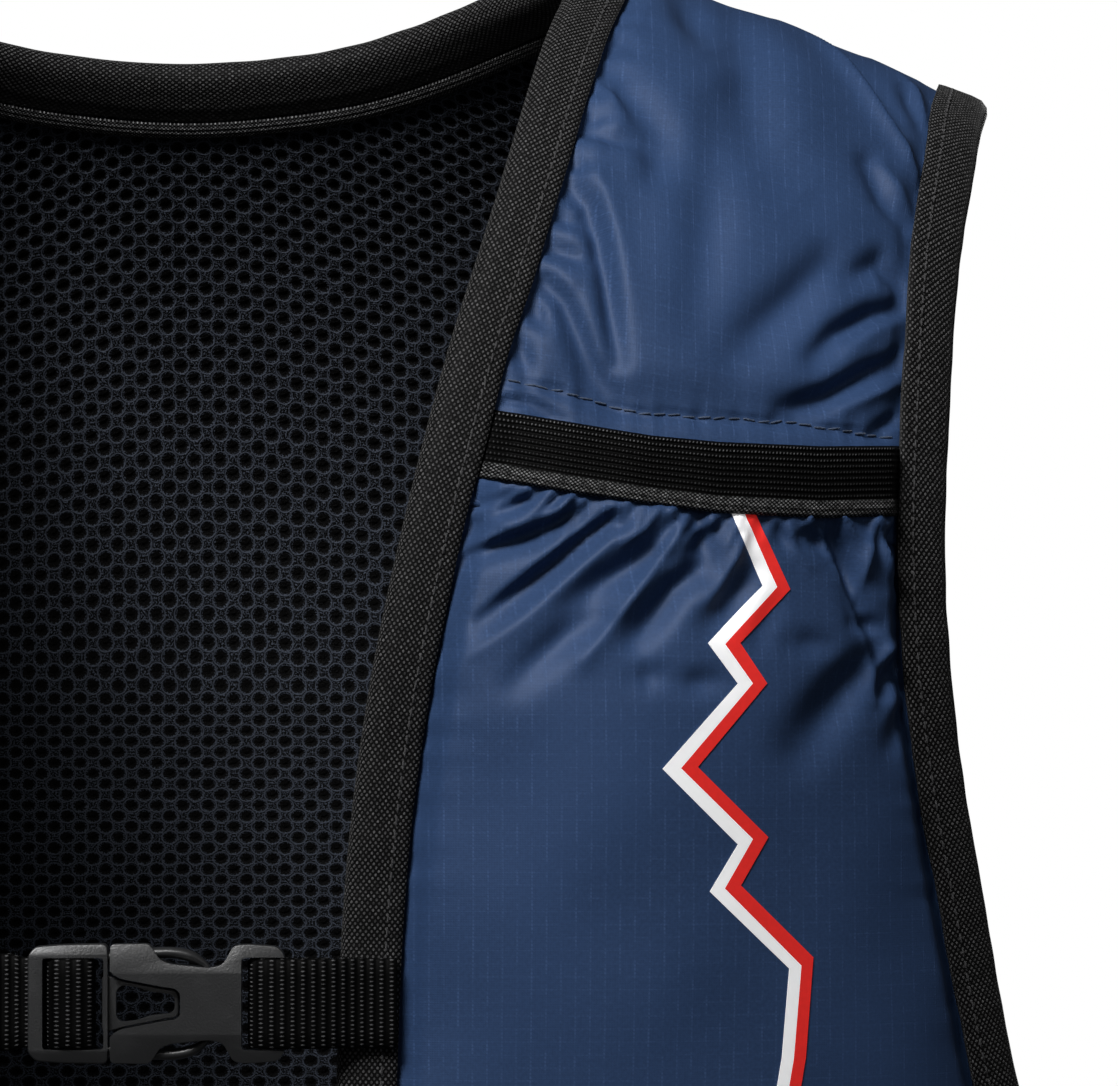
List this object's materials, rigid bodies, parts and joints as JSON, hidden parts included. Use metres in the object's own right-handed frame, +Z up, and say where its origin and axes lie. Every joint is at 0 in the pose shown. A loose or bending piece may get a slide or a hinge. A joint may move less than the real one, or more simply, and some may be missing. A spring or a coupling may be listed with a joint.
{
  "type": "running hydration vest",
  "caption": "Sleeveless running vest with taped edges, elastic-topped flask pockets on the chest, a reservoir pocket on the back and a buckled sternum strap.",
  "frame": {"origin": "on the wearer's middle plane, midway between the shoulders, at the height at which the middle of each shoulder strap sits on its shoulder", "axes": "+Z up, +X to the wearer's left, -Y to the front"},
  "size_m": [0.3518, 0.2365, 0.3632],
  "materials": {
    "mesh": "matte spacer mesh",
    "ripstop": "satin ripstop",
    "tape": "woven binding tape",
    "elastic": "ribbed elastic",
    "webbing": "ribbed webbing",
    "buckle": "fine-grained plastic"
  },
  "bodies": {
    "root": {"back_mesh": "mesh", "back_yoke": "ripstop", "reservoir_pocket": "ripstop", "reservoir_elastic": "elastic", "neck_binding": "tape", "hem_binding": "tape", "buckle_socket": "buckle", "buckle_plug": "buckle", "left_strap": "webbing", "right_strap": "webbing", "left_front_mesh": "mesh", "left_side_mesh": "mesh", "left_shoulder_panel": "ripstop", "left_flask_pocket": "ripstop", "left_pocket_elastic": "elastic", "left_armhole_binding": "tape", "right_front_mesh": "mesh", "right_side_mesh": "mesh", "right_shoulder_panel": "ripstop", "right_flask_pocket": "ripstop", "right_pocket_elastic": "elastic", "right_armhole_binding": "tape"}
  },
  "joints": []
}
